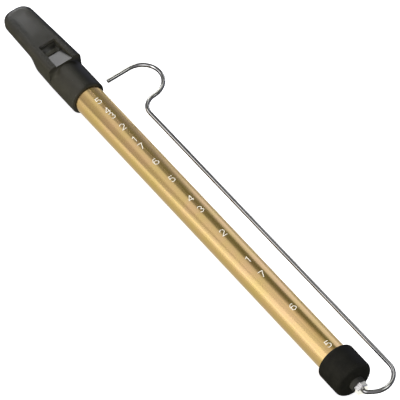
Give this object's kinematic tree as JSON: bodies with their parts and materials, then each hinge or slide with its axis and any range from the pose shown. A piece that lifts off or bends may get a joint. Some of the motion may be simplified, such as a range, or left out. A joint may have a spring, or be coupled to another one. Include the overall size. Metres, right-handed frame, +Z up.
{
  "type": "slide whistle",
  "caption": "Slide whistle with a flat-topped fipple mouthpiece, brass barrel, round end cap and bent wire slide with finger hook and pointer that moves the piston.",
  "frame": {"origin": "middle of the box round the whole whistle, at the height of the lowest line, where the end cap touches the table", "axes": "+X along the bore from the mouthpiece to the end cap, the way the slide pulls out; +Y from the barrel towards the wire's return run; +Z up, the way the sound window faces"},
  "size_m": [0.3027, 0.0498, 0.0215],
  "materials": {
    "mouthpiece_plastic": "satin black",
    "barrel_brass": "polished, lightly drawn",
    "cap_plastic": "matt black",
    "bush_nickel": "nickel plated",
    "stop_felt": "grey felt",
    "piston_brass": "turned",
    "packing_felt": "greased felt",
    "wire_nickel": "nickel plated"
  },
  "bodies": {
    "barrel": {"mouthpiece_body": "mouthpiece_plastic", "windway_block": "mouthpiece_plastic", "barrel_tube": "barrel_brass", "end_cap": "cap_plastic", "guide_bush": "bush_nickel", "bush_washer": "bush_nickel", "bush_nut": "bush_nickel", "felt_stop": "stop_felt"},
    "piston": {"piston_hub": "piston_brass", "piston_front_disc": "piston_brass", "piston_rear_disc": "piston_brass", "piston_packing": "packing_felt"},
    "slide_wire": {"slide_rod": "wire_nickel", "rod_collar": "wire_nickel", "rod_end_washer": "wire_nickel", "rod_end_nut": "wire_nickel"}
  },
  "joints": [
    {"name": "slide_pull", "type": "slide", "parent": "barrel", "child": "piston", "axis": [1, 0, 0], "range_m": [0, 0.2068]},
    {"name": "wire_swivel", "type": "hinge", "parent": "piston", "child": "slide_wire", "pos_m": [-0.0821, -0.0146, 0.0103], "axis": [1, 0, 0], "continuous": true}
  ]
}
